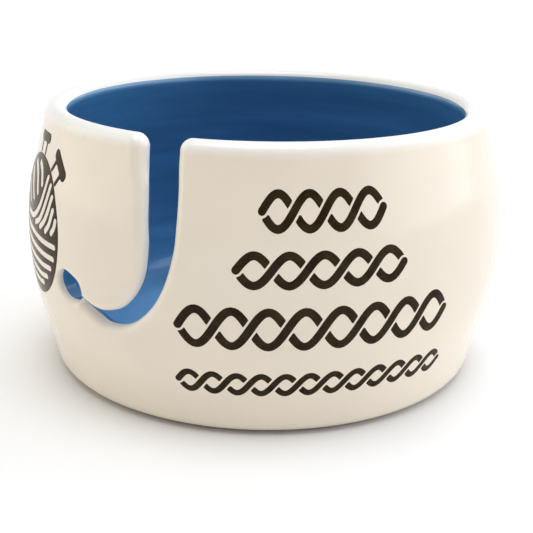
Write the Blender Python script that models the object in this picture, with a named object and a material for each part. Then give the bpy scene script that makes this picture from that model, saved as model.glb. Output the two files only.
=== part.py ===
"""Yarn bowl: a glazed stoneware bowl with a J-shaped yarn slot and a printed decoration.

Units are metres and +Z is up. The origin is on the resting plane, under the centre of the bowl. The yarn
slot comes down from the rim on the -Y side, and its hook turns towards -X. The bowl is built in layers, as
it is made: the fired clay, a cream glaze outside, a blue glaze inside, and the prints over the cream glaze.
Neighbouring layers keep a small gap.
"""
import math

import bmesh
import bpy
from mathutils import Vector

MM = 0.001

# Driving dimensions of the glazed bowl
HEIGHT = 82.5 * MM
BELLY_RADIUS = 75.0 * MM
GLAZE = 0.6 * MM
GAP = 0.3 * MM
CLAY_DEPTH = GLAZE + GAP
TURN_STEPS = 52
SHARP_ANGLE = math.radians(35)

# Outer wall: share of the height, and radius
WALL = (
    (0.040, 68.2 * MM),
    (0.150, 69.9 * MM),
    (0.300, 73.2 * MM),
    (0.500, BELLY_RADIUS),
    (0.700, 73.9 * MM),
    (0.850, 70.8 * MM),
    (0.950, 68.7 * MM),
)
WALL_THICKNESS = 6.0 * MM
LIP_RADIUS = 3.5 * MM
LIP_CENTRE = (65.1 * MM, HEIGHT - LIP_RADIUS)
LIP_THICKENING = 12.0 * MM  # the wall swells to the lip over this height
GLAZE_MEETING = HEIGHT - 1.6 * MM  # the cream and the blue glaze meet on the inside of the lip

# Bottom: a rounded corner down to a bare foot ring around a shallow recess
CORNER_RADIUS = 4.5 * MM
CORNER_CENTRE = (64.0 * MM, CORNER_RADIUS)
GLAZE_LINE = 1.5 * MM
FOOT_OUTER = 64.6 * MM
FOOT_INNER = 56.5 * MM
FOOT_CHAMFER = 0.8 * MM
RECESS = 1.5 * MM
FLOOR = 6.8 * MM
FLOOR_FILLET = 8.0 * MM

# Yarn slot on the unrolled wall: distance round the belly from -Y, height, and half width
SLOT = (
    (-2.3 * MM, 90.0 * MM, 6.5 * MM),
    (-1.5 * MM, 77.0 * MM, 5.8 * MM),
    (-0.1 * MM, 69.5 * MM, 5.1 * MM),
    (0.65 * MM, 61.0 * MM, 4.65 * MM),
    (0.75 * MM, 54.0 * MM, 4.05 * MM),
    (-0.9 * MM, 45.5 * MM, 3.3 * MM),
    (-4.6 * MM, 38.6 * MM, 2.9 * MM),
    (-10.6 * MM, 33.2 * MM, 2.5 * MM),
    (-17.4 * MM, 31.2 * MM, 1.9 * MM),
    (-22.0 * MM, 31.8 * MM, 1.2 * MM),
    (-27.0 * MM, 33.6 * MM, 1.0 * MM),
)
EYE_CENTRE = (-33.2 * MM, 37.1 * MM)  # the oval hole that the slot ends in
EYE_HALF = (5.3 * MM, 4.3 * MM)  # along and across
EYE_TILT = math.radians(159)  # from the slot's mouth to the far end, against +X
EYE_STEPS = 24
SLOT_STEPS = 3  # between two of the slot's points
CUTTER_RADII = (0.80 * BELLY_RADIUS, 1.12 * BELLY_RADIUS)  # clear of the wall on both sides
RIM_CORNER = 3.5 * MM
RIM_CORNER_ANGLES = (90, 65, 40, 20)
ABOVE_RIM = 6.0 * MM

# Prints, placed on the unrolled wall
PRINT_THICKNESS = 0.3 * MM
LINE_HALF = 0.8 * MM
BALL_CENTRE = (-57.6 * MM, 49.4 * MM)
BALL_RADIUS = 20.9 * MM
BALL_STEPS = 36
BALL_STRANDS = (  # start and end on the outline in degrees, and bulge as a share of the radius
    (26, 118, -0.34),
    (9, 128, -0.24),
    (-8, 140, -0.02),
    (176, -16, 0.34),
    (190, -32, 0.28),
    (206, -50, 0.20),
)
STRAND_STEPS = 9
NEEDLES = (  # name, middle of the head, direction in degrees, half length and half height of the head
    ("flat_head_needle_print", (-41.0 * MM, 69.9 * MM), 50, 5.4 * MM, 1.65 * MM),
    ("round_head_needle_print", (-57.4 * MM, 75.2 * MM), 90, 5.6 * MM, 1.45 * MM),
)
SHAFT_SIDE = 2.6 * MM  # from the middle of a needle's shaft to its printed side
BANDS = (  # name, left and right end round the wall, bottom and top height, loops, half width of the yarn
    ("braid_print_top", 29.1 * MM, 63.0 * MM, 60.6 * MM, 71.6 * MM, 4, 1.1 * MM),
    ("braid_print_upper", 22.6 * MM, 68.8 * MM, 45.9 * MM, 56.2 * MM, 5, 1.15 * MM),
    ("braid_print_lower", 6.8 * MM, 85.2 * MM, 28.4 * MM, 41.0 * MM, 8, 1.2 * MM),
    ("braid_print_bottom", 5.4 * MM, 88.4 * MM, 13.5 * MM, 21.2 * MM, 12, 0.95 * MM),
)
LOOP_STEPS = 5
LEAST_MITRE = 0.5  # a printed line's corner sticks out at most twice its half width

# Outlines of the wall's layers: how finely each stretch is drawn, and where it starts
CORNER_END = -12  # degrees; the rounded corner meets the wall here
CORNER_STEPS = 2
WALL_START = 0.09 * HEIGHT
OUTER_WALL_POINTS = 9
INNER_WALL_POINTS = 6
LIP_STEPS = 5
FILLET_STEPS = 4
WALL_END = 3.0 * MM  # the drawn wall stops this far short of the lip and of the floor's fillet
INNER_LIP_END = 4.0 * MM
CORE_MARGIN = 5.0 * MM
MERGE_DISTANCE = 0.01 * MM
SLOPE_STEP = 0.1 * MM


def material(name, colour, roughness):
    made = bpy.data.materials.new(name)
    made.use_nodes = True
    shader = made.node_tree.nodes["Principled BSDF"]
    shader.inputs["Base Color"].default_value = (*colour, 1.0)
    shader.inputs["Roughness"].default_value = roughness
    shader.inputs["Metallic"].default_value = 0.0
    return made


def through(stations, at):
    """The value at `at` on a smooth curve through (at, value) stations, with three-point slopes."""
    last = len(stations) - 1

    def slope(i):
        low, high = max(i - 1, 0), min(i + 1, last)
        return (stations[high][1] - stations[low][1]) / (stations[high][0] - stations[low][0])

    i = 0
    while i < last - 1 and at > stations[i + 1][0]:
        i += 1
    (start, first), (end, second) = stations[i], stations[i + 1]
    width = end - start
    t = (at - start) / width
    return (
        (2 * t**3 - 3 * t**2 + 1) * first
        + (t**3 - 2 * t**2 + t) * width * slope(i)
        + (3 * t**2 - 2 * t**3) * second
        + (t**3 - t**2) * width * slope(i + 1)
    )


def outer_radius(z):
    return through([(share * HEIGHT, radius) for share, radius in WALL], z)


def thickness(z):
    """The wall's width at height z. It swells into the lip."""
    share = min(max((z - LIP_CENTRE[1] + LIP_THICKENING) / LIP_THICKENING, 0), 1)
    lip_width = 2 * LIP_RADIUS
    return WALL_THICKNESS + (lip_width - WALL_THICKNESS) * share**2 * (3 - 2 * share)


def inner_radius(z):
    return outer_radius(z) - thickness(z)


def offset(radius_at, z, depth):
    """The wall point at height z, moved by depth towards the axis, square to the wall."""
    slope = (radius_at(z + SLOPE_STEP) - radius_at(z - SLOPE_STEP)) / (2 * SLOPE_STEP)
    length = math.hypot(1, slope)
    return radius_at(z) - depth / length, z + depth * slope / length


def arc(centre, radius, start, end, steps):
    """Points (radius, height) on an arc of the profile, with angles in degrees from the outward level."""
    angles = [math.radians(start + (end - start) * i / steps) for i in range(steps + 1)]
    return [(centre[0] + radius * math.cos(a), centre[1] + radius * math.sin(a)) for a in angles]


def evenly(start, end, count):
    return [start + (end - start) * i / (count - 1) for i in range(count)]


def lip_angle(height, radius):
    """Where the inner side of the lip is at `height`, in degrees from the outward level."""
    return 180 - math.degrees(math.asin((height - LIP_CENTRE[1]) / radius))


def outer_path(depth, meeting):
    """The outside from the glaze line up over the lip to height `meeting` inside it, `depth` deep."""
    radius = CORNER_RADIUS - depth
    start = math.degrees(math.asin((GLAZE_LINE - CORNER_CENTRE[1]) / radius))
    corner = arc(CORNER_CENTRE, radius, start, CORNER_END, CORNER_STEPS)
    heights = evenly(WALL_START, LIP_CENTRE[1] - WALL_END, OUTER_WALL_POINTS)
    wall = [offset(outer_radius, z, depth) for z in heights]
    lip_radius = LIP_RADIUS - depth
    return corner + wall + arc(LIP_CENTRE, lip_radius, 0, lip_angle(meeting, lip_radius), LIP_STEPS)


def inner_path(depth, meeting):
    """The inside from height `meeting` on the lip down the wall to the middle of the floor."""
    lip_radius = LIP_RADIUS - depth
    lip = arc(LIP_CENTRE, lip_radius, lip_angle(meeting, lip_radius), 180, 1)
    corner_top = FLOOR + FLOOR_FILLET
    heights = evenly(LIP_CENTRE[1] - INNER_LIP_END, corner_top + WALL_END, INNER_WALL_POINTS)
    wall = [offset(inner_radius, z, -depth) for z in heights]
    fillet_centre = (inner_radius(corner_top) - FLOOR_FILLET, corner_top)
    fillet = arc(fillet_centre, FLOOR_FILLET + depth, 0, -90, FILLET_STEPS)
    return lip + wall + fillet + [(0, FLOOR - depth)]


def new_object(name, mesh, finish=None):
    made = bpy.data.objects.new(name, mesh)
    bpy.context.scene.collection.objects.link(made)
    if finish:
        mesh.materials.append(finish)
        mesh.shade_smooth()
        mesh.set_sharp_from_angle(angle=SHARP_ANGLE)
    else:
        made.hide_render = True
        made.display_type = "WIRE"
    return made


def lathe(name, profile, finish=None):
    """A closed profile of (radius, height) points turned once about Z."""
    bm = bmesh.new()
    points = [bm.verts.new((radius, 0, z)) for radius, z in profile]
    edges = [bm.edges.new(pair) for pair in zip(points, points[1:] + points[:1])]
    turn = {"cent": (0, 0, 0), "axis": (0, 0, 1), "angle": math.tau, "steps": TURN_STEPS}
    bmesh.ops.spin(bm, geom=points + edges, use_merge=True, **turn)
    bmesh.ops.remove_doubles(bm, verts=bm.verts, dist=MERGE_DISTANCE)
    on_axis = [e for e in bm.edges if not e.link_faces]
    bmesh.ops.delete(bm, geom=on_axis, context="EDGES")
    bmesh.ops.recalc_face_normals(bm, faces=bm.faces)
    mesh = bpy.data.meshes.new(name)
    bm.to_mesh(mesh)
    bm.free()
    return new_object(name, mesh, finish)


def boolean(target, cutter, operation="DIFFERENCE"):
    modifier = target.modifiers.new(operation.lower(), "BOOLEAN")
    modifier.operation = operation
    modifier.solver = "EXACT"
    modifier.object = cutter


def slot_centreline():
    """The slot's (distance round the wall, height, half width) from above the rim to the eye."""
    stations = [Vector(point) for point in SLOT]
    ends = [stations[0] * 2 - stations[1]] + stations + [stations[-1] * 2 - stations[-2]]
    points = []
    for i in range(1, len(ends) - 2):
        before, start, end, after = ends[i - 1 : i + 3]
        for step in range(SLOT_STEPS):
            t = step / SLOT_STEPS
            curve = (
                2 * start
                + (end - before) * t
                + (2 * before - 5 * start + 4 * end - after) * t**2
                + (3 * start - before - 3 * end + after) * t**3
            )
            points.append(curve / 2)
    return points + [stations[-1]]


def rim_flare(z):
    """How much wider each side of the slot is at height z, because the rim's corners are rounded."""
    up = min(max((z - HEIGHT + RIM_CORNER) / RIM_CORNER, 0), 1)
    return RIM_CORNER * (1 - math.sqrt(1 - up**2))


def slot_outline(grow):
    """The slot's closed outline on the unrolled wall, wider by `grow` on every side."""
    line = slot_centreline()
    rim = [p for p in line if p[1] > HEIGHT - RIM_CORNER]
    below = [p for p in line if p[1] <= HEIGHT - RIM_CORNER]
    top = [Vector((rim[0][0], HEIGHT + ABOVE_RIM, rim[0][2]))]
    for angle in RIM_CORNER_ANGLES:
        up = math.sin(math.radians(angle))
        top.append(Vector((rim[-1][0], HEIGHT - RIM_CORNER * (1 - up), rim[-1][2])))
    line = top + below
    sides = ([], [])
    for i, point in enumerate(line):
        along = (line[min(i + 1, len(line) - 1)] - line[max(i - 1, 0)]).xy.normalized()
        half = point[2] + grow + rim_flare(point[1])
        sides[0].append(point.xy + Vector((-along.y, along.x)) * half)
        sides[1].append(point.xy - Vector((-along.y, along.x)) * half)
    return sides[1] + eye_outline(line[-1][2], grow) + sides[0][::-1]


def eye_outline(mouth_half, grow):
    """The eye's outline, round from one side of its mouth to the other."""
    along = Vector((math.cos(EYE_TILT), math.sin(EYE_TILT)))
    across = Vector((-along.y, along.x))
    length, width = (half + grow for half in EYE_HALF)
    reach = math.pi - math.asin((mouth_half + grow) / width)
    outline = []
    for angle in evenly(-reach, reach, EYE_STEPS + 1):
        outline.append(Vector(EYE_CENTRE) + along * length * math.cos(angle) + across * width * math.sin(angle))
    return outline


def slot_cutter(grow):
    """A solid of the slot's outline, cut square through the wall towards the bowl's axis."""
    bm = bmesh.new()
    rings = []
    for radius in CUTTER_RADII:
        ring = []
        for u, z in slot_outline(grow):
            turn = u / BELLY_RADIUS
            ring.append(bm.verts.new((radius * math.sin(turn), -radius * math.cos(turn), z)))
        rings.append(ring)
    near, far = rings
    for i in range(len(near)):
        j = (i + 1) % len(near)
        bm.faces.new((near[i], near[j], far[j]))
        bm.faces.new((near[i], far[j], far[i]))
    caps = [bm.faces.new(near), bm.faces.new(far)]
    bmesh.ops.triangulate(bm, faces=caps, ngon_method="EAR_CLIP")
    bmesh.ops.recalc_face_normals(bm, faces=bm.faces)
    mesh = bpy.data.meshes.new("slot_cutter")
    bm.to_mesh(mesh)
    bm.free()
    return new_object("slot_cutter", mesh)


def flat_ribbon(points, halves, closed=False):
    """A printed line as a flat prism: along X on the unrolled wall, up Z, its thickness along -Y."""
    count = len(points)
    sides = ([], [])
    for i, point in enumerate(points):
        before = points[i - 1] if closed or i else point
        after = points[(i + 1) % count] if closed or i < count - 1 else point
        into, out = (point - before).normalized(), (after - point).normalized()
        along = (into + out).normalized()
        across = Vector((-along.y, along.x))
        mitre = max(along.dot(into if into.length else out), LEAST_MITRE)
        sides[0].append(point + across * halves[i] / mitre)
        sides[1].append(point - across * halves[i] / mitre)
    bm = bmesh.new()
    corners = []
    for left, right in zip(*sides):
        corners.append([
            bm.verts.new((p.x, depth, p.y)) for depth in (0, -PRINT_THICKNESS) for p in (left, right)
        ])
    for i in range(count if closed else count - 1):
        a, b = corners[i], corners[(i + 1) % count]
        for first, second in ((0, 1), (1, 3), (3, 2), (2, 0)):
            bm.faces.new((a[first], a[second], b[second], b[first]))
    if not closed:
        for a, b, c, d in (corners[0], corners[-1]):
            bm.faces.new((a, b, d, c))
    bmesh.ops.recalc_face_normals(bm, faces=bm.faces)
    mesh = bpy.data.meshes.new("ribbon")
    bm.to_mesh(mesh)
    bm.free()
    return new_object("ribbon", mesh)


def wrap(name, flat, finish):
    """The flat print bent onto the cream glaze, as its own object."""
    graph = bpy.context.evaluated_depsgraph_get()
    mesh = bpy.data.meshes.new_from_object(flat.evaluated_get(graph))
    mesh.name = name
    for vertex in mesh.vertices:
        u, depth, z = vertex.co
        radius, height = offset(outer_radius, z, depth - GAP)
        turn = u / BELLY_RADIUS
        vertex.co = (radius * math.sin(turn), -radius * math.cos(turn), height)
    return new_object(name, mesh, finish)


def remove(*objects):
    for used in objects:
        bpy.data.objects.remove(used)


def ball_point(degrees, share=1.0):
    angle = math.radians(degrees)
    reach = (BALL_RADIUS - LINE_HALF) * share
    return Vector(BALL_CENTRE) + reach * Vector((math.cos(angle), math.sin(angle)))


def united(parts):
    """The first flat print, joined with all the others."""
    for part in parts[1:]:
        boolean(parts[0], part, "UNION")
    return parts[0]


def yarn_ball(finish):
    """The ball's outline, crossed by curved strands of yarn."""
    outline = [ball_point(360 * i / BALL_STEPS) for i in range(BALL_STEPS)]
    lines = [flat_ribbon(outline, [LINE_HALF] * BALL_STEPS, closed=True)]
    for start, end, bulge in BALL_STRANDS:
        a, b = ball_point(start), ball_point(end)
        across = Vector((a.y - b.y, b.x - a.x)).normalized() * bulge * BALL_RADIUS
        shares = evenly(0, 1, STRAND_STEPS + 1)
        line = [a.lerp(b, share) + across * (1 - (2 * share - 1) ** 2) for share in shares]
        lines.append(flat_ribbon(line, [LINE_HALF] * len(line)))
    wrap("yarn_ball_print", united(lines), finish)
    remove(*lines)


def needle(name, middle, degrees, half_length, half_height, finish):
    """The end of a knitting needle that stands out of the ball: its head, and both sides of its shaft."""
    angle = math.radians(degrees)
    along = Vector((math.cos(angle), math.sin(angle)))
    across = Vector((along.y, -along.x))
    middle = Vector(middle)
    ends = (middle - across * half_length, middle + across * half_length)
    lines = [flat_ribbon(ends, [half_height] * 2)]
    clear = BALL_RADIUS + GAP + LINE_HALF
    for side in (SHAFT_SIDE, -SHAFT_SIDE):
        top = middle + across * side
        from_ball = top - Vector(BALL_CENTRE)
        ahead = from_ball.dot(along)
        down = ahead - math.sqrt(ahead**2 - from_ball.length_squared + clear**2)
        lines.append(flat_ribbon((top - along * down, top), [LINE_HALF] * 2))
    wrap(name, united(lines), finish)
    remove(*lines)


def band(name, left, right, bottom, top, loops, half, finish):
    """Two strands of yarn that wave between the band's bottom and top and cross at each loop's ends."""
    steps = loops * LOOP_STEPS
    reach = (top - bottom) / 2 - half
    strands = []
    for side in (1, -1):
        points = []
        for i in range(steps + 1):
            wave = side * math.sin(math.pi * i / LOOP_STEPS)
            points.append(Vector((left + (right - left) * i / steps, (bottom + top) / 2 + reach * wave)))
        strands.append(flat_ribbon(points, [half] * len(points)))
    wrap(name, united(strands), finish)
    remove(*strands)


def main():
    for old in list(bpy.data.objects):
        bpy.data.objects.remove(old)
    clay = material("bare_stoneware", (0.60, 0.52, 0.43), 0.85)
    cream = material("cream_glaze", (0.80, 0.74, 0.62), 0.12)
    blue = material("blue_glaze", (0.03, 0.13, 0.32), 0.10)
    ink = material("brown_ink", (0.03, 0.02, 0.015), 0.35)

    foot = [
        (0, RECESS),
        (FOOT_INNER - RECESS, RECESS),
        (FOOT_INNER, 0),
        (FOOT_OUTER, 0),
        (FOOT_OUTER + FOOT_CHAMFER, FOOT_CHAMFER),
        (FOOT_OUTER + FOOT_CHAMFER, GLAZE_LINE - GAP),
    ]
    clay_top = GLAZE_MEETING
    clay_wall = outer_path(CLAY_DEPTH, clay_top) + inner_path(CLAY_DEPTH, clay_top)[1:]
    body = lathe("clay_body", foot + clay_wall, clay)
    boolean(body, slot_cutter(CLAY_DEPTH))

    blue_top = GLAZE_MEETING - GAP
    skin = inner_path(0, blue_top) + inner_path(GLAZE, blue_top)[::-1]
    inner = lathe("inner_glaze", skin, blue)
    boolean(inner, slot_cutter(CLAY_DEPTH))

    # The cream glaze is the whole wall less a core, and the core keeps clear of the slot, so that the
    # glaze also lines the cut faces.
    wall = outer_path(0, GLAZE_MEETING) + inner_path(0, GLAZE_MEETING)[1:] + [(0, GLAZE_LINE)]
    outer = lathe("outer_glaze", wall, cream)
    beyond = BELLY_RADIUS + CORE_MARGIN
    core_profile = [(0, -CORE_MARGIN), (beyond, -CORE_MARGIN), (beyond, GLAZE_LINE)]
    core_profile += outer_path(GLAZE, GLAZE_MEETING) + [(0, GLAZE_MEETING)]
    core = lathe("core", core_profile)
    boolean(core, slot_cutter(GLAZE))
    boolean(outer, core)
    boolean(outer, slot_cutter(0))

    yarn_ball(ink)
    for row in NEEDLES:
        needle(*row, ink)
    for row in BANDS:
        band(*row, ink)


main()
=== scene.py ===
"""Looks of the yarn bowl: cream and blue glazes over stoneware, and brown printed decoration.

Every surface is a level set: a field that is negative inside the shape. A field is sampled on a grid, meshed,
and its vertices are then moved onto the exact surface. The prints are fields on the unrolled wall, cut out
of a flat sheet and bent onto the glaze. Lengths are millimetres until a mesh is made, and metres in materials
and on the stage. The row frame is the CAD's: +Z up, the yarn slot at -Y, its hook towards -X.
"""
import math

import bpy
import numpy as np
import openvdb
from mathutils import Matrix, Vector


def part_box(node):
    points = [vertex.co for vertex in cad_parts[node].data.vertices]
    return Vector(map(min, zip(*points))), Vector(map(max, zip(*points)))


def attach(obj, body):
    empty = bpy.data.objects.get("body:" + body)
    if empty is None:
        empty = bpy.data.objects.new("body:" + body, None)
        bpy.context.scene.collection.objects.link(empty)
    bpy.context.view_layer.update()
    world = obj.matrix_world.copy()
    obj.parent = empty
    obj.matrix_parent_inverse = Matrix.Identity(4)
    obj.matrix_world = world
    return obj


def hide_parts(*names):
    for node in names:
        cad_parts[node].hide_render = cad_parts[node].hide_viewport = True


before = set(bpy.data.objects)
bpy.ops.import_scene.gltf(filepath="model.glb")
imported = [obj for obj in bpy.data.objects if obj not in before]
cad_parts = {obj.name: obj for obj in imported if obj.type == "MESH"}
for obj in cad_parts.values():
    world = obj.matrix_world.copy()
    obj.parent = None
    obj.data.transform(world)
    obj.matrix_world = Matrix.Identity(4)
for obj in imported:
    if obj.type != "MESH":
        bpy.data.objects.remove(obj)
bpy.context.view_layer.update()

MM = 0.001

# ---- Sizes, from the frame ----

CAD_GLAZE = 0.6  # thickness of the CAD's glazes
glaze_low, glaze_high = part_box("outer_glaze")
HEIGHT = glaze_high.z / MM
BELLY = max(glaze_high.x, -glaze_low.x) / MM
GLAZE_LINE = glaze_low.z / MM  # the cream glaze ends this high above the foot
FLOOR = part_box("inner_glaze")[0].z / MM + CAD_GLAZE

# The outer wall: share of the height, and share of the belly's radius
WALL = (
    (0.040, 0.9093),
    (0.150, 0.9320),
    (0.300, 0.9760),
    (0.500, 1.0000),
    (0.700, 0.9853),
    (0.850, 0.9440),
    (0.950, 0.9160),
)
WALL_THICKNESS = 6.0
LIP_RADIUS = 3.5
LIP_THICKENING = 12.0
FLOOR_FILLET = 8.0
CORNER_RADIUS = 4.5
FOOT_INNER = 56.5
RECESS = 1.5
RECESS_CORNER = 1.0
FOOT_ARRIS = 0.8  # rounding of the foot ring's inner edge
UNDER_EDGE = (64.0, 61.0)  # the cream glaze's end rises inwards between these radii, clear of the recess
UNDER_RISE = 2.5
GLAZE_THICKNESS = 0.45
GLAZE_GAP = 0.05  # between the clay and the back of the glaze
BARE_START = 0.2  # the clay starts to come out from under the glaze this far over the glaze's end
BARE_BLEND = 0.5  # the height in which it comes out
BARE_SUNK = 0.12  # it stays this far in from there, but not on the foot itself

# How far the blue glaze laps round the inner edges: on the lip, more in the slot, more again in the eye
LIP_LAP = 0.3
SLOT_LAP = 2.5
EYE_LAP = 1.3
LAP_RISE = (4.0, 14.0)  # the lap widens between these depths under the rim

# The yarn slot on the unrolled wall: distance round the belly from -Y, height, and half width
SLOT = np.array([
    (-2.3, 90.0, 6.5),
    (-1.5, 77.0, 5.8),
    (-0.1, 69.5, 5.1),
    (0.65, 61.0, 4.65),
    (0.75, 54.0, 4.05),
    (-0.9, 45.5, 3.3),
    (-4.6, 38.6, 2.9),
    (-10.6, 33.2, 2.5),
    (-17.4, 31.2, 1.9),
    (-22.0, 31.8, 1.2),
    (-27.0, 33.6, 1.0),
])
EYE_CENTRE = np.array((-33.2, 37.1))
EYE_HALF = (5.3, 4.3)  # along and across
EYE_TILT = math.radians(159)
EYE_BLEND = 1.0  # rounding where the slot runs into the eye
SLOT_STEPS = 10  # straight parts between two stations of the slot
SHARP_CENTRE = np.array((-35.8, 38.2))  # the edges get sharper near here, at the eye's far end
SHARP_REACH = (5.0, 8.5)
ARRIS_RADIUS = 2.9  # rounding along the slot's edges
EYE_ARRIS = 1.2
RIM_CORNER = 3.5
RIM_ARRIS = 3.3
EDGE_REACH = (2.0, 6.5)  # the cream glaze gets paler at the inner edges, where it thins and as a painted highlight, this far out of the inside wall
LIP_REACH = (4.0, 0.6)  # and on the lip, as a painted highlight, this far under its top
EDGE = "pale_edge_and_highlight"

# Meshes: spacing of the grid, degrees that the surface may turn along one edge, length under which an edge
# isn't split, and rounds of splitting
GRID = 1.5
FLATNESS = 10.0
SHORTEST = 0.3
ROUNDS = 3
CLAY_GRID = 2.0
CLAY_FLATNESS = 12.0
CLAY_SHORTEST = 0.6
CLAY_ROUNDS = 2
BOX_MARGIN = 3.0  # room round the bowl in its grid
LEAST_SLOPE = 0.05  # a field's squared slope counts as at least this when a point is moved onto its surface
MOST_MOVE = 1.0  # and the point moves by at most this much, times the slope, in one round
SNAP = 0.25  # share of the grid's spacing within which a vertex is moved onto a cut
SHARP_ANGLE = math.radians(40)

# Printed ink
INK_HEIGHT = 0.07
INK_ROOT = 0.06  # how far the ink goes into the glaze
INK_EDGE = 0.45  # width of its rounded edge
INK_FALL = 0.98  # how much the square of its height falls over that width
INK_GRID = 0.4
PRINT_MARGIN = 1.0
PRINT_GAP = 0.15


# ---- Fields ----


def unit(v):
    return v / np.maximum(np.linalg.norm(v, axis=1, keepdims=True), 1e-12)


def smooth_max(a, b, radius):
    """The larger of two fields, with a round edge where they cross."""
    both = np.hypot(np.maximum(a + radius, 0), np.maximum(b + radius, 0))
    return np.minimum(np.maximum(a, b), -radius) + both


def smooth_min(a, b, radius):
    return -smooth_max(-a, -b, radius)


def hermite(stations, at):
    """Values at `at` on a smooth curve through (at, value) stations, and the curve's slopes there."""
    x, y = np.array(stations).T
    slopes = np.empty_like(y)
    slopes[1:-1] = (y[2:] - y[:-2]) / (x[2:] - x[:-2])
    slopes[0] = (y[1] - y[0]) / (x[1] - x[0])
    slopes[-1] = (y[-1] - y[-2]) / (x[-1] - x[-2])
    inside = np.clip(at, x[0], x[-1])
    i = np.clip(np.searchsorted(x, inside) - 1, 0, len(x) - 2)
    span = x[i + 1] - x[i]
    t = (inside - x[i]) / span
    value = (
        (2 * t**3 - 3 * t**2 + 1) * y[i]
        + (t**3 - 2 * t**2 + t) * span * slopes[i]
        + (3 * t**2 - 2 * t**3) * y[i + 1]
        + (t**3 - t**2) * span * slopes[i + 1]
    )
    slope = (
        (6 * t**2 - 6 * t) * (y[i] - y[i + 1]) / span
        + (3 * t**2 - 4 * t + 1) * slopes[i]
        + (3 * t**2 - 2 * t) * slopes[i + 1]
    )
    return value + slope * (at - inside), slope


WALL_MM = [(share * HEIGHT, radius * BELLY) for share, radius in WALL]
LIP_HEIGHT = HEIGHT - LIP_RADIUS


def thickness(z):
    share = np.clip((z - LIP_HEIGHT + LIP_THICKENING) / LIP_THICKENING, 0, 1)
    return WALL_THICKNESS + (2 * LIP_RADIUS - WALL_THICKNESS) * share**2 * (3 - 2 * share)


def inner_radius(z):
    """Radius of the inside of the wall. It goes straight up from the lip's widest place."""
    level = np.minimum(z, LIP_HEIGHT)
    return hermite(WALL_MM, level)[0] - thickness(level)


def wall_outside(r, z):
    """Distance out of the outer wall, which also goes straight up from the lip's widest place."""
    radius, slope = hermite(WALL_MM, np.minimum(z, LIP_HEIGHT))
    slope = np.where(z > LIP_HEIGHT, 0, slope)
    return (r - radius) / np.hypot(1, slope)


def catmull(points, steps):
    """Points on a smooth curve through all of `points`."""
    ends = np.vstack([2 * points[0] - points[1], points, 2 * points[-1] - points[-2]])
    found = []
    for i in range(1, len(ends) - 2):
        a, b, c, d = ends[i - 1 : i + 3]
        for t in np.arange(steps) / steps:
            squares = (2 * a - 5 * b + 4 * c - d) * t**2
            cubes = (3 * b - a - 3 * c + d) * t**3
            found.append(0.5 * (2 * b + (c - a) * t + squares + cubes))
    return np.array(found + [points[-1]])


def stroke(uv, line):
    """Distance out of a stroke along (u, z, half width) points, in the plane."""
    best = np.full(len(uv), 1e9)
    for start, end in zip(line, line[1:]):
        along = (end - start)[:2]
        t = np.clip((uv - start[:2]) @ along / (along @ along), 0, 1)
        away = uv - start[:2] - t[:, None] * along
        best = np.minimum(best, np.hypot(away[:, 0], away[:, 1]) - start[2] - t * (end[2] - start[2]))
    return best


def unrolled(p):
    """Points on the unrolled wall: distance round the belly from -Y, and height."""
    return np.column_stack([BELLY * np.arctan2(p[:, 0], -p[:, 1]), p[:, 2]])


def smooth_step(x, start, end):
    share = np.clip((x - start) / (end - start), 0, 1)
    return share**2 * (3 - 2 * share)


def slot_shape(uv):
    """Distance out of the slot on the unrolled wall."""
    away = uv - EYE_CENTRE
    along = away @ (math.cos(EYE_TILT), math.sin(EYE_TILT))
    across = away @ (-math.sin(EYE_TILT), math.cos(EYE_TILT))
    eye = (np.hypot(along / EYE_HALF[0], across / EYE_HALF[1]) - 1) * min(EYE_HALF)
    return smooth_min(stroke(uv, catmull(SLOT, SLOT_STEPS)), eye, EYE_BLEND)


def tabled(field, low, high, step):
    """The same field of two coordinates, read from samples on a grid with smooth cubics in between."""
    axes = [np.arange(a, b, step) for a, b in zip(low, high)]
    samples = field(np.stack(np.meshgrid(*axes, indexing="ij"), -1).reshape(-1, 2))
    samples = samples.reshape([len(axis) for axis in axes])

    def read(uv):
        at = (uv - low) / step
        cell = np.clip(np.floor(at).astype(int), 1, np.array(samples.shape) - 3)
        t = (at - cell).T
        weights = (2 * t**2 - t - t**3, 2 - 5 * t**2 + 3 * t**3, t + 4 * t**2 - 3 * t**3, t**3 - t**2)
        return 0.25 * sum(
            weights[i][0] * weights[j][1] * samples[cell[:, 0] + i - 1, cell[:, 1] + j - 1]
            for i in range(4)
            for j in range(4)
        )

    return read


SLOT_LOW = np.array((-62.0, 18.0))
SLOT_HIGH = np.array((34.0, 96.0))
SLOT_TABLE_STEP = 0.2
SLOT_TABLE_EDGE = 2.0
FAR = 99.0  # the slot's distance where it is too far to matter
slot_field = tabled(slot_shape, SLOT_LOW, SLOT_HIGH, SLOT_TABLE_STEP)


def near_eye(uv):
    return 1 - smooth_step(np.hypot(*(uv - SHARP_CENTRE).T), *SHARP_REACH)


def bowl(p):
    """The finished, glazed bowl."""
    r, z = np.hypot(p[:, 0], p[:, 1]), p[:, 2]
    uv = unrolled(p)
    near = ((uv > SLOT_LOW + SLOT_TABLE_EDGE) & (uv < SLOT_HIGH - SLOT_TABLE_EDGE)).all(1)
    slot = np.full(len(p), FAR)
    slot[near] = slot_field(uv[near])
    outline = smooth_max(z - HEIGHT, -slot, RIM_CORNER)
    edge = ARRIS_RADIUS + (EYE_ARRIS - ARRIS_RADIUS) * near_eye(uv)
    edge += (RIM_ARRIS - ARRIS_RADIUS) * smooth_step(z, HEIGHT - LIP_THICKENING, LIP_HEIGHT)
    cavity = smooth_max(r - inner_radius(z), FLOOR - z, FLOOR_FILLET)
    wall = np.maximum(wall_outside(r, z), -cavity)
    solid = smooth_max(smooth_max(wall, outline, edge), -z, CORNER_RADIUS)
    recess = smooth_max(r - FOOT_INNER, z - RECESS, RECESS_CORNER)
    return smooth_max(solid, -recess, FOOT_ARRIS)


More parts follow.
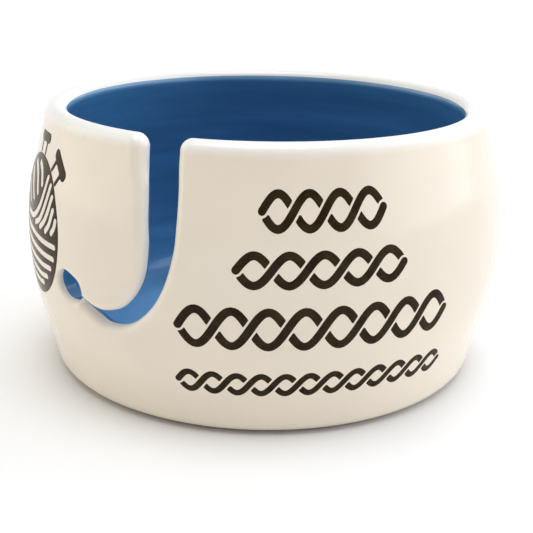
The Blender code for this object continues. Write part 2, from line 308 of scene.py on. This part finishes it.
def pale_edge_and_highlight(p):
    """1 on the lip and where the outside comes round an edge to the inside wall, and 0 on the outer wall. It
    marks thinner glaze and painted highlight at the edges, and painted highlight on the lip.
    """
    z = p[:, 2]
    inside = 1 - smooth_step(np.hypot(p[:, 0], p[:, 1]) - inner_radius(z), *EDGE_REACH)
    return np.maximum(inside, smooth_step(HEIGHT - z, *LIP_REACH))


def above_foot(p):
    """Above the line where the cream glaze stops, over the bare foot and the recess inside it."""
    r = np.hypot(p[:, 0], p[:, 1])
    under = np.clip((UNDER_EDGE[0] - r) / (UNDER_EDGE[0] - UNDER_EDGE[1]), 0, 1)
    return p[:, 2] - (GLAZE_LINE + UNDER_RISE * under)


def inside_wall(p):
    """How far a point is outside the surface of the inside wall, less the blue glaze's lap."""
    r, z = np.hypot(p[:, 0], p[:, 1]), p[:, 2]
    lap = LIP_LAP + SLOT_LAP * smooth_step(HEIGHT - z, *LAP_RISE) + EYE_LAP * near_eye(unrolled(p))
    return r - inner_radius(z) - lap


def clay(p):
    """The fired clay: under the glazes, and bare at the foot."""
    bare = np.clip((GLAZE_LINE + BARE_START - p[:, 2]) / BARE_BLEND, 0, 1)
    sunk = BARE_SUNK * np.clip(p[:, 2], 0, 1)
    return bowl(p) + (GLAZE_THICKNESS + GLAZE_GAP) * (1 - bare) + sunk * bare


# ---- Meshes of fields ----


def gradient(field, p):
    step = 0.02
    offsets = np.eye(3) * step
    return np.column_stack([field(p + o) - field(p - o) for o in offsets]) / (2 * step)


def settle(field, p, rounds=4):
    """The points, moved onto the surface."""
    for _ in range(rounds):
        slope = gradient(field, p)
        move = field(p) / np.maximum((slope**2).sum(1), LEAST_SLOPE)
        p = p - np.clip(move, -MOST_MOVE, MOST_MOVE)[:, None] * slope
    return p


def triangles_of(field, low, high, step):
    """A triangle mesh of the field's surface in a box."""
    axes = [np.arange(a, b + step, step) for a, b in zip(low, high)]
    shape = [len(axis) for axis in axes]
    values = np.empty(shape, np.float32)
    plane = np.stack(np.meshgrid(axes[1], axes[2], indexing="ij"), -1).reshape(-1, 2)
    for i, x in enumerate(axes[0]):
        points = np.column_stack([np.full(len(plane), x), plane])
        values[i] = np.clip(field(points), -2 * step, 2 * step).reshape(shape[1:])
    grid = openvdb.FloatGrid(float(2 * step))
    grid.copyFromArray(values)
    points, triangles, quads = grid.convertToPolygons(0.0, 0.0)
    points = points * step + np.array(low)
    halves = [quads[:, [0, 1, 2]], quads[:, [0, 2, 3]]]
    triangles = np.vstack([triangles.reshape(-1, 3), *halves]).astype(np.int64)
    points = settle(field, points)
    if volume(points, triangles) < 0:
        triangles = triangles[:, ::-1]
    return points, triangles


def volume(points, triangles):
    a, b, c = (points[triangles[:, k]] for k in range(3))
    return np.einsum("ij,ij->i", a, np.cross(b, c)).sum() / 6


def edges_of(triangles):
    """Each edge once, and for each triangle the numbers of its edges, in the order 01, 12, 20."""
    ends = np.stack([triangles, np.roll(triangles, -1, axis=1)], -1).reshape(-1, 2)
    edges, number = np.unique(np.sort(ends, axis=1), axis=0, return_inverse=True)
    return edges, number.reshape(-1, 3)


def split_edges(triangles, marked, number, middle):
    """Triangles split at the middles of their marked edges. middle holds the new vertex of each edge."""
    found = []
    cut = marked[number]
    count = cut.sum(1)
    found.append(triangles[count == 0])
    for turn in range(3):
        order = [(turn + k) % 3 for k in range(3)]
        t, n, c = triangles[:, order], number[:, order], cut[:, order]
        one = (count == 1) & c[:, 0]
        m = middle[n[one, 0]]
        found += [np.column_stack([t[one, 0], m, t[one, 2]]), np.column_stack([m, t[one, 1], t[one, 2]])]
        two = (count == 2) & c[:, 0] & c[:, 1]
        m, k = middle[n[two, 0]], middle[n[two, 1]]
        found += [
            np.column_stack([m, t[two, 1], k]),
            np.column_stack([t[two, 0], m, k]),
            np.column_stack([t[two, 0], k, t[two, 2]]),
        ]
    three = count == 3
    t, n = triangles[three], middle[number[three]]
    found += [np.column_stack([t[:, k], n[:, k], n[:, k - 1]]) for k in range(3)] + [n]
    return np.vstack(found)


def refine(field, points, triangles, most_degrees, shortest, rounds):
    """Finer triangles where the surface turns too much along an edge."""
    limit = math.cos(math.radians(most_degrees))
    for _ in range(rounds):
        normals = unit(gradient(field, points))
        edges, number = edges_of(triangles)
        turned = (normals[edges[:, 0]] * normals[edges[:, 1]]).sum(1) < limit
        long = np.linalg.norm(points[edges[:, 0]] - points[edges[:, 1]], axis=1) > shortest
        marked = turned & long
        if not marked.any():
            break
        middle = np.zeros(len(edges), np.int64)
        middle[marked] = len(points) + np.arange(marked.sum())
        added = settle(field, points[edges[marked]].mean(1), 3)
        points = np.vstack([points, added])
        triangles = split_edges(triangles, marked, number, middle)
    return points, triangles


def cut(field, points, triangles, side, grid):
    """The part of the mesh where side is positive, with a clean edge along side = 0."""
    value = side(points)
    slope = gradient(side, points)
    normal = unit(gradient(field, points))
    along = slope - (slope * normal).sum(1)[:, None] * normal
    size = np.maximum((along**2).sum(1), 1e-6)
    near = np.abs(value) < SNAP * grid * np.sqrt(size)
    points = points.copy()
    points[near] -= (value / size)[near, None] * along[near]
    points[near] = settle(field, points[near], 2)
    value = side(points)
    value[near] = 0
    edges, number = edges_of(triangles)
    a, b = value[edges[:, 0]], value[edges[:, 1]]
    crossed = (a * b) < 0
    middle = np.zeros(len(edges), np.int64)
    middle[crossed] = len(points) + np.arange(crossed.sum())
    share = (a / np.where(crossed, a - b, 1))[crossed, None]
    ends = points[edges[crossed]]
    added = ends[:, 0] + share * (ends[:, 1] - ends[:, 0])
    points = np.vstack([points, settle(field, added, 2)])
    value = np.concatenate([value, np.zeros(crossed.sum())])
    triangles = split_edges(triangles, crossed, number, middle)
    kept = triangles[value[triangles].sum(1) > 0]
    return tidy(points, kept)


def tidy(points, triangles):
    """The mesh without the vertices that no triangle uses."""
    used, index = np.unique(triangles, return_inverse=True)
    return points[used], index.reshape(-1, 3)


def shell(field, points, triangles, depth):
    """A skin of the given depth under the surface: its front, its back and the rim between them."""
    return closed(points, triangles, points - depth * unit(gradient(field, points)))


def closed(points, triangles, behind):
    """The sheet as a solid: its front, the same sheet at the points behind, and the rim between them."""
    ends = np.stack([triangles, np.roll(triangles, -1, axis=1)], -1).reshape(-1, 2)
    keys = np.sort(ends, axis=1)
    _, first, count = np.unique(keys, axis=0, return_index=True, return_counts=True)
    rim = ends[first[count == 1]]
    size = len(points)
    back = triangles[:, ::-1] + size
    sides = np.vstack([
        np.column_stack([rim[:, 1], rim[:, 0], rim[:, 0] + size]),
        np.column_stack([rim[:, 1], rim[:, 0] + size, rim[:, 1] + size]),
    ])
    return np.vstack([points, behind]), np.vstack([triangles, back, sides])


def printed(field, low, high):
    """A thin layer of ink bent onto the glaze, where the field of (u, z) is negative."""
    axes = [np.arange(a, b, INK_GRID) for a, b in zip(low, high)]
    points = np.stack(np.meshgrid(*axes, [0.0], indexing="ij"), -1).reshape(-1, 3)
    index = np.arange(len(points)).reshape(len(axes[0]), -1)
    corners = (index[:-1, :-1], index[1:, :-1], index[1:, 1:], index[:-1, 1:])
    a, b, c, d = (corner.ravel() for corner in corners)
    triangles = np.vstack([np.column_stack([a, b, c]), np.column_stack([a, c, d])])

    def inside(p):
        return -field(p[:, :2])

    points, triangles = cut(lambda p: p[:, 2], points, triangles, inside, INK_GRID)
    edge = np.clip(1 - inside(points) / INK_EDGE, 0, 1)
    height = INK_HEIGHT * np.sqrt(1 - INK_FALL * edge**2)
    sheet, triangles = closed(points, triangles, points)
    return bent(sheet[:, :2], np.concatenate([height, np.full(len(height), -INK_ROOT)])), triangles


def bent(uv, above):
    """Points of the unrolled wall, put back on the outside wall and `above` its surface."""
    turn = uv[:, 0] / BELLY
    radius = hermite(WALL_MM, uv[:, 1])[0] + above
    return np.column_stack([radius * np.sin(turn), -radius * np.cos(turn), uv[:, 1]])


def piece(name, points, triangles, material):
    """A Blender object of the mesh, in metres, that rides on the bowl."""
    mesh = bpy.data.meshes.new(name)
    mesh.vertices.add(len(points))
    mesh.vertices.foreach_set("co", (points * MM).astype(np.float32).ravel())
    mesh.loops.add(len(triangles) * 3)
    mesh.loops.foreach_set("vertex_index", triangles.astype(np.int32).ravel())
    mesh.polygons.add(len(triangles))
    mesh.polygons.foreach_set("loop_start", np.arange(0, len(triangles) * 3, 3, dtype=np.int32))
    mesh.update(calc_edges=True)
    mesh.validate()
    mesh.shade_smooth()
    mesh.set_sharp_from_angle(angle=SHARP_ANGLE)
    mesh.materials.append(material)
    made = bpy.data.objects.new(name, mesh)
    bpy.context.scene.collection.objects.link(made)
    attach(made, "root")
    return made


# ---- Prints, on the unrolled wall ----

BALL_CENTRE = np.array((-57.6, 49.4))
BALL_RADIUS = 20.9
YARN_HALF = 0.82
# Strands of yarn in the ball: points they pass through
YARN = (
    ((-75.4, 50.6), (-66.0, 48.3), (-57.0, 47.3), (-48.0, 46.7), (-39.3, 46.8)),
    ((-75.2, 45.8), (-66.0, 44.5), (-57.0, 43.5), (-48.0, 42.9), (-40.4, 43.0)),
    ((-73.4, 41.2), (-65.0, 40.5), (-57.0, 39.7), (-49.5, 39.2), (-42.7, 39.6)),
    ((-70.6, 37.0), (-64.0, 36.6), (-57.0, 36.0), (-51.0, 35.6), (-46.0, 36.2)),
    ((-66.4, 33.4), (-60.0, 32.9), (-54.5, 32.6), (-50.6, 33.0)),
    ((-65.0, 51.9), (-57.6, 51.9), (-51.8, 55.6), (-48.9, 60.2), (-47.6, 65.2)),
    ((-54.6, 50.6), (-50.8, 52.4), (-47.7, 56.0), (-45.7, 59.8), (-44.7, 63.4)),
    ((-50.0, 50.3), (-46.7, 52.8), (-44.1, 56.5), (-42.4, 60.6)),
    ((-45.6, 50.1), (-43.0, 52.6), (-40.9, 57.2)),
    ((-41.3, 50.5), (-39.6, 52.5), (-38.9, 54.6)),
    ((-57.8, 67.7), (-54.2, 65.8), (-51.6, 62.4)),
    ((-63.6, 67.0), (-58.4, 64.2), (-54.6, 59.4)),
    ((-68.4, 64.2), (-63.0, 61.4), (-58.6, 57.0)),
    ((-72.4, 60.4), (-67.2, 58.2), (-63.4, 55.2)),
    ((-75.2, 56.0), (-71.4, 55.2), (-68.6, 53.6)),
)
# Knitting needles: name, middle of the head, direction that the shaft points in, and the head's half length
# and half height
NEEDLES = (
    ("flat_head_needle", (-41.0, 69.9), math.radians(50), 5.4, 1.65),
    ("round_head_needle", (-57.4, 75.2), math.radians(90), 5.6, 1.45),
)
SHAFT_HALF = (3.3, 1.9)  # outside and inside of its outline
SHAFT_CORNER = 0.3
SHAFT_EDGE = 0.2
HEAD_BLEND = 0.4
NEEDLE_BELOW = 14  # a needle's print reaches at most this far down and to the left of its head's middle
NEEDLE_ABOVE = 7  # and this far up and to the right
# Bands of twisted yarn: name, ends round the wall, bottom and top, number of loops, half width of the yarn
BANDS = (
    ("top", 29.1, 63.0, 60.6, 71.6, 4, 1.1),
    ("upper", 22.6, 68.8, 45.9, 56.2, 5, 1.15),
    ("lower", 6.8, 85.2, 28.4, 41.0, 8, 1.2),
    ("bottom", 5.4, 88.4, 13.5, 21.2, 12, 0.95),
)
BAND_STEPS = 14
UNDERPASS = 0.6  # bare glaze beside the yarn that goes over
STRAND_CORNER = 0.15
GAP_CORNER = 0.1


def line(points, half, steps=6):
    return catmull(np.column_stack([np.array(points), np.full(len(points), half)]), steps)


def ball_disc(uv):
    return np.hypot(*(uv - BALL_CENTRE).T) - BALL_RADIUS


def yarn_ball(uv):
    """A dark disc with the strands of yarn left bare."""
    bare = np.min([stroke(uv, line(strand, YARN_HALF)) for strand in YARN], axis=0)
    return smooth_max(ball_disc(uv), -bare, STRAND_CORNER)


def needle(uv, middle, pointing, half_length, half_height):
    """A needle's head, and the outline of its shaft down to the ball."""
    along = np.array((math.cos(pointing), math.sin(pointing)))
    across = np.array((along[1], -along[0]))
    reach = across * (half_length - half_height)
    head = stroke(uv, line([middle - reach, middle, middle + reach], half_height))
    away = uv - middle
    beside = np.abs(away @ across)
    shaft, hollow = (smooth_max(beside - half, away @ along, SHAFT_CORNER) for half in SHAFT_HALF)
    outline = smooth_max(shaft, -hollow, SHAFT_EDGE)
    return smooth_max(smooth_min(head, outline, HEAD_BLEND), PRINT_GAP - ball_disc(uv), GAP_CORNER)


def band(uv, left, right, bottom, top, loops, half):
    """Two strands of yarn twisted round each other, each going over and under in turn."""
    at = np.linspace(0, loops, loops * BAND_STEPS + 1)
    wave = ((top - bottom) / 2 - half) * np.sin(math.pi * at)
    fields = []
    for side in (1, -1):
        points = np.column_stack([left + (right - left) * at / loops, (bottom + top) / 2 + side * wave])
        fields.append(stroke(uv, np.column_stack([points, np.full(len(at), half)])))
    crossing = np.round((uv[:, 0] - left) / (right - left) * loops) % 2 == 0
    over, under = np.where(crossing, fields, fields[::-1])
    return np.minimum(over, smooth_max(under, UNDERPASS - over, STRAND_CORNER))


# ---- Materials ----


MIX_A, MIX_B, MIX_RESULT = 6, 7, 2  # sockets of a colour Mix node, which share their names with others


def new_material(name, colour, roughness):
    made = bpy.data.materials.new(name)
    made.use_nodes = True
    shader = made.node_tree.nodes["Principled BSDF"]
    shader.inputs["Base Color"].default_value = (*colour, 1)
    shader.inputs["Roughness"].default_value = roughness
    return made, made.node_tree, shader


def node(tree, kind, inputs=None, **settings):
    made = tree.nodes.new(kind)
    for key, value in settings.items():
        setattr(made, key, value)
    for key, value in (inputs or {}).items():
        made.inputs[key].default_value = value
    return made


def place(tree, stretch=(1, 1, 1)):
    """Object coordinates in metres, stretched."""
    coordinates = node(tree, "ShaderNodeTexCoord")
    mapping = node(tree, "ShaderNodeMapping", {"Scale": stretch})
    tree.links.new(coordinates.outputs["Object"], mapping.inputs["Vector"])
    return mapping.outputs["Vector"]


def noise(tree, scale, detail=3.0, roughness=0.5, stretch=(1, 1, 1)):
    made = node(tree, "ShaderNodeTexNoise", {"Scale": scale, "Detail": detail, "Roughness": roughness})
    tree.links.new(place(tree, stretch), made.inputs["Vector"])
    return made.outputs["Fac"]


def ramp(tree, factor, *stops):
    """A colour ramp from (position, colour) stops."""
    made = node(tree, "ShaderNodeValToRGB")
    elements = made.color_ramp.elements
    while len(elements) < len(stops):
        elements.new(0.5)
    for element, (position, colour) in zip(elements, stops):
        element.position = position
        element.color = (*colour, 1)
    tree.links.new(factor, made.inputs["Fac"])
    return made.outputs["Color"]


def graded(tree, factor, low, high, start=0.3, end=0.7):
    """The factor, mapped from start..end to low..high."""
    ends = {"From Min": start, "From Max": end, "To Min": low, "To Max": high}
    made = node(tree, "ShaderNodeMapRange", ends)
    tree.links.new(factor, made.inputs["Value"])
    return made.outputs["Result"]


def bump(tree, height, depth, below=None):
    """Normals of a relief `depth` metres deep, on top of the relief below."""
    made = node(tree, "ShaderNodeBump", {"Strength": 1.0, "Distance": depth})
    tree.links.new(height, made.inputs["Height"])
    if below:
        tree.links.new(below, made.inputs["Normal"])
    return made.outputs["Normal"]


def colour_mix(tree, inputs=None, **settings):
    return node(tree, "ShaderNodeMix", inputs, data_type="RGBA", **settings)


def shade(colour, share):
    return tuple(share * c for c in colour)


CREAM = (0.890, 0.785, 0.650)
PALE_AND_HIGHLIGHT = (0.955, 0.94, 0.915)  # where the cream glaze thins over an edge, and painted highlight there and on the lip
BLUE = (0.060, 0.200, 0.392)
INK = (0.026, 0.016, 0.007)
CLAY = (0.55, 0.46, 0.36)


def cream_glaze():
    """Soft mottled cream, paler along the edges where the glaze thins and as a painted highlight, and on the
    lip as a painted highlight, with a faint orange-peel gloss.
    """
    made, tree, shader = new_material("cream_glaze_fine", CREAM, 0.12)
    mottle = noise(tree, 38, 4)
    tone = ramp(tree, mottle, (0.30, shade(CREAM, 0.97)), (0.5, CREAM), (0.72, shade(CREAM, 1.02)))
    # The pale mark is thinner glaze over the edges together with painted highlight, and painted highlight on
    # the lip.
    edge = node(tree, "ShaderNodeAttribute", attribute_name=EDGE)
    broken_and_highlit = colour_mix(tree, {MIX_B: (*PALE_AND_HIGHLIGHT, 1)})
    tree.links.new(graded(tree, edge.outputs["Fac"], 0, 0.9, 0, 1), broken_and_highlit.inputs["Factor"])
    tree.links.new(tone, broken_and_highlit.inputs[MIX_A])
    tree.links.new(broken_and_highlit.outputs[MIX_RESULT], shader.inputs["Base Color"])
    tree.links.new(graded(tree, noise(tree, 90, 3), 0.12, 0.21), shader.inputs["Roughness"])
    relief = bump(tree, noise(tree, 70, 2), 0.00018)
    relief = bump(tree, noise(tree, 420, 2), 0.000012, relief)
    tree.links.new(relief, shader.inputs["Normal"])
    return made


def blue_glaze():
    """Blue with faint turning streaks, with painted light that makes it lighter on the floor and the low
    wall, and paler at the lip where the glaze thins and as a painted highlight.
    """
    made, tree, shader = new_material("blue_glaze_fine", BLUE, 0.10)
    streaks = ramp(
        tree,
        noise(tree, 16, 5, 0.55, (1, 1, 9)),
        (0.30, (0.82, 0.82, 0.82)),
        (0.5, (1, 1, 1)),
        (0.70, (1.22, 1.2, 1.16)),
    )
    split = node(tree, "ShaderNodeSeparateXYZ")
    tree.links.new(place(tree), split.inputs["Vector"])
    # Painted light: lighter towards the floor as if lit from above, and paler at the very lip, partly thinner
    # glaze and partly a painted highlight.
    painted_light_by_height = ramp(
        tree,
        graded(tree, split.outputs["Z"], 0, 1, 0, HEIGHT * MM),
        (0.085, (0.124, 0.315, 0.565)),
        (0.16, (0.110, 0.310, 0.590)),
        (0.45, shade(BLUE, 1.08)),
        (0.80, shade(BLUE, 1.12)),
        (0.95, BLUE),
        (0.995, (0.30, 0.50, 0.68)),
    )
    streaked = colour_mix(tree, {"Factor": 1.0}, blend_type="MULTIPLY")
    tree.links.new(painted_light_by_height, streaked.inputs[MIX_A])
    tree.links.new(streaks, streaked.inputs[MIX_B])
    tree.links.new(streaked.outputs[MIX_RESULT], shader.inputs["Base Color"])
    tree.links.new(graded(tree, noise(tree, 60, 4), 0.08, 0.20), shader.inputs["Roughness"])
    relief = bump(tree, noise(tree, 18, 3, 0.5, (1, 1, 7)), 0.0005)
    relief = bump(tree, noise(tree, 300, 2), 0.000015, relief)
    tree.links.new(relief, shader.inputs["Normal"])
    return made


def brown_ink():
    """Fired ink: nearly black brown, with a soft warm sheen."""
    made, tree, shader = new_material("brown_ink_fine", INK, 0.25)
    shader.inputs["Specular IOR Level"].default_value = 0.07
    shader.inputs["Sheen Weight"].default_value = 0.45
    shader.inputs["Sheen Roughness"].default_value = 0.25
    shader.inputs["Sheen Tint"].default_value = (1.0, 0.84, 0.58, 1)
    tone = ramp(tree, noise(tree, 260, 4, 0.6), (0.30, shade(INK, 0.7)), (0.75, shade(INK, 1.8)))
    tree.links.new(tone, shader.inputs["Base Color"])
    tree.links.new(graded(tree, noise(tree, 500, 3), 0.18, 0.34), shader.inputs["Roughness"])
    tree.links.new(bump(tree, noise(tree, 900, 2), 0.000012), shader.inputs["Normal"])
    return made


def bare_stoneware():
    """Grainy unglazed clay."""
    made, tree, shader = new_material("bare_stoneware_fine", CLAY, 0.85)
    grain = noise(tree, 700, 6, 0.65)
    tone = ramp(tree, grain, (0.32, (0.36, 0.28, 0.20)), (0.45, CLAY), (0.75, (0.64, 0.56, 0.45)))
    tree.links.new(tone, shader.inputs["Base Color"])
    tree.links.new(graded(tree, grain, 0.75, 0.95), shader.inputs["Roughness"])
    relief = bump(tree, noise(tree, 120, 3), 0.0002)
    relief = bump(tree, grain, 0.00012, relief)
    tree.links.new(relief, shader.inputs["Normal"])
    return made


# ---- The bowl ----

box_low = (-BELLY - BOX_MARGIN, -BELLY - BOX_MARGIN, -BOX_MARGIN)
box_high = (BELLY + BOX_MARGIN, BELLY + BOX_MARGIN, HEIGHT + BOX_MARGIN)
points, triangles = triangles_of(bowl, box_low, box_high, GRID)
points, triangles = refine(bowl, points, triangles, FLATNESS, SHORTEST, ROUNDS)

skin = cut(bowl, points, triangles, above_foot, GRID)
front = cut(bowl, *skin, inside_wall, GRID)
points, triangles = shell(bowl, *front, GLAZE_THICKNESS)
cream = piece("cream_glaze_coat", points, triangles, cream_glaze())
cream.data.attributes.new(EDGE, "FLOAT", "POINT").data.foreach_set("value", pale_edge_and_highlight(points))
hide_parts("outer_glaze")

front = cut(bowl, *skin, lambda p: -inside_wall(p), GRID)
blue = piece("blue_glaze_coat", *shell(bowl, *front, GLAZE_THICKNESS), blue_glaze())
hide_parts("inner_glaze")

points, triangles = triangles_of(clay, box_low, box_high, CLAY_GRID)
points, triangles = refine(clay, points, triangles, CLAY_FLATNESS, CLAY_SHORTEST, CLAY_ROUNDS)
body = piece("stoneware_body", points, triangles, bare_stoneware())
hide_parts("clay_body")

ink = brown_ink()


def add_print(name, node_name, field, low, high):
    """A print whose field lies inside low..high on the unrolled wall."""
    points, triangles = printed(field, np.array(low) - PRINT_MARGIN, np.array(high) + PRINT_MARGIN)
    made = piece(name, points, triangles, ink)
    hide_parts(node_name)


add_print("yarn_ball_ink", "yarn_ball_print", yarn_ball, BALL_CENTRE - BALL_RADIUS, BALL_CENTRE + BALL_RADIUS)
for name, middle, pointing, half_length, half_height in NEEDLES:
    middle = np.array(middle)
    field = lambda uv: needle(uv, middle, pointing, half_length, half_height)
    add_print(name + "_ink", name + "_print", field, middle - NEEDLE_BELOW, middle + NEEDLE_ABOVE)
for row, left, right, bottom, top, loops, half in BANDS:
    field = lambda uv: band(uv, left, right, bottom, top, loops, half)
    add_print("yarn_band_ink_" + row, "braid_print_" + row, field, (left - half, bottom), (right + half, top))

# ---- Stage, light and camera ----

CAMERA_TURN = math.radians(22.8)
CAMERA_DISTANCE = 320 * MM
CAMERA_HEIGHT = 136.7 * MM
CAMERA_PITCH = math.radians(18.975)
CAMERA_YAW = math.radians(0.152)
CAMERA_ROLL = math.radians(0.952)
LENS = 68.77
SENSOR_WIDTH = 36
CLIP_START = 0.01
FLOOR_SIZE = 80.0  # metres
FLOOR_COLOUR = (0.935, 0.935, 0.935)
FLOOR_ROUGHNESS = 0.7
WORLD_STRENGTH = 0.46
# How the room's light changes round a direction: its turn from the camera to its right and its elevation, in
# degrees, then stops of the cosine from that direction and the light there
ROOM = (
    (0, 15, (0.25, (1, 1, 1)), (0.80, (0.50, 0.50, 0.50))),
    (130, 35, (0.45, (1, 1, 1)), (0.85, (1.8, 1.9, 2.05))),
    (0, 90, (0.12, (1.95, 1.95, 1.95)), (0.30, (1, 1, 1))),
)
SUNS = (  # name, strength, elevation, turn from the camera to its right, softness, colour
    ("sun_overhead", 1.38, 86, 0, 40, (1.0, 1.0, 1.0)),
    ("sun_right", 1.02, 18, 84, 70, (0.97, 1.0, 1.04)),
    ("sun_left", 0.60, 15, -92, 60, (1.05, 1.0, 0.80)),
)


def add_floor():
    mesh = bpy.data.meshes.new("studio_floor")
    half = FLOOR_SIZE / 2
    corners = [(-half, -half, 0), (half, -half, 0), (half, half, 0), (-half, half, 0)]
    mesh.from_pydata(corners, [], [(0, 1, 2, 3)])
    made = bpy.data.objects.new("studio_floor", mesh)
    bpy.context.scene.collection.objects.link(made)
    mesh.materials.append(new_material("studio_floor", FLOOR_COLOUR, FLOOR_ROUGHNESS)[0])


def add_world():
    """Soft light from all round, brighter or darker towards the directions in ROOM."""
    world = bpy.data.worlds.new("studio")
    bpy.context.scene.world = world
    world.use_nodes = True
    tree = world.node_tree
    background = tree.nodes["Background"]
    background.inputs["Strength"].default_value = WORLD_STRENGTH
    # The camera looks straight at plain white past the floor's edge, so that no horizon shows
    seen = colour_mix(tree, {MIX_B: (1 / WORLD_STRENGTH,) * 3 + (1,)})
    tree.links.new(node(tree, "ShaderNodeLightPath").outputs["Is Camera Ray"], seen.inputs["Factor"])
    tree.links.new(seen.outputs[MIX_RESULT], background.inputs["Color"])
    light = seen.inputs[MIX_A]
    direction = node(tree, "ShaderNodeTexCoord").outputs["Generated"]
    for turn, elevation, *stops in ROOM:
        turn = CAMERA_TURN + math.radians(turn)
        level = math.cos(math.radians(elevation))
        toward = node(tree, "ShaderNodeVectorMath", operation="DOT_PRODUCT")
        toward.inputs[1].default_value = (
            level * math.sin(turn),
            -level * math.cos(turn),
            math.sin(math.radians(elevation)),
        )
        tree.links.new(direction, toward.inputs[0])
        product = colour_mix(tree, {"Factor": 1.0, MIX_B: (1, 1, 1, 1)}, blend_type="MULTIPLY")
        tree.links.new(ramp(tree, toward.outputs["Value"], *stops), product.inputs[MIX_A])
        tree.links.new(product.outputs[MIX_RESULT], light)
        light = product.inputs[MIX_B]


def add_suns():
    for name, strength, elevation, turn, softness, colour in SUNS:
        lamp = bpy.data.lights.new(name, "SUN")
        lamp.energy = strength
        lamp.color = colour
        lamp.angle = math.radians(softness)
        sun = bpy.data.objects.new(name, lamp)
        bpy.context.scene.collection.objects.link(sun)
        about = Matrix.Rotation(CAMERA_TURN + math.radians(turn), 4, "Z")
        sun.matrix_world = about @ Matrix.Rotation(math.radians(90 - elevation), 4, "X")


def add_camera():
    """The photograph's viewpoint."""
    data = bpy.data.cameras.new("camera")
    data.lens = LENS
    data.sensor_width = SENSOR_WIDTH
    data.clip_start = CLIP_START
    camera = bpy.data.objects.new("camera", data)
    bpy.context.scene.collection.objects.link(camera)
    camera.location = (
        CAMERA_DISTANCE * math.sin(CAMERA_TURN),
        -CAMERA_DISTANCE * math.cos(CAMERA_TURN),
        CAMERA_HEIGHT,
    )
    camera.rotation_mode = "QUATERNION"
    level = Matrix.Rotation(CAMERA_TURN - CAMERA_YAW, 3, "Z")
    aim = level @ Matrix.Rotation(math.pi / 2 - CAMERA_PITCH, 3, "X")
    camera.rotation_quaternion = (aim @ Matrix.Rotation(CAMERA_ROLL, 3, "Z")).to_quaternion()
    bpy.context.scene.camera = camera


add_floor()
add_world()
add_suns()
add_camera()
bpy.context.scene.view_settings.view_transform = "Standard"
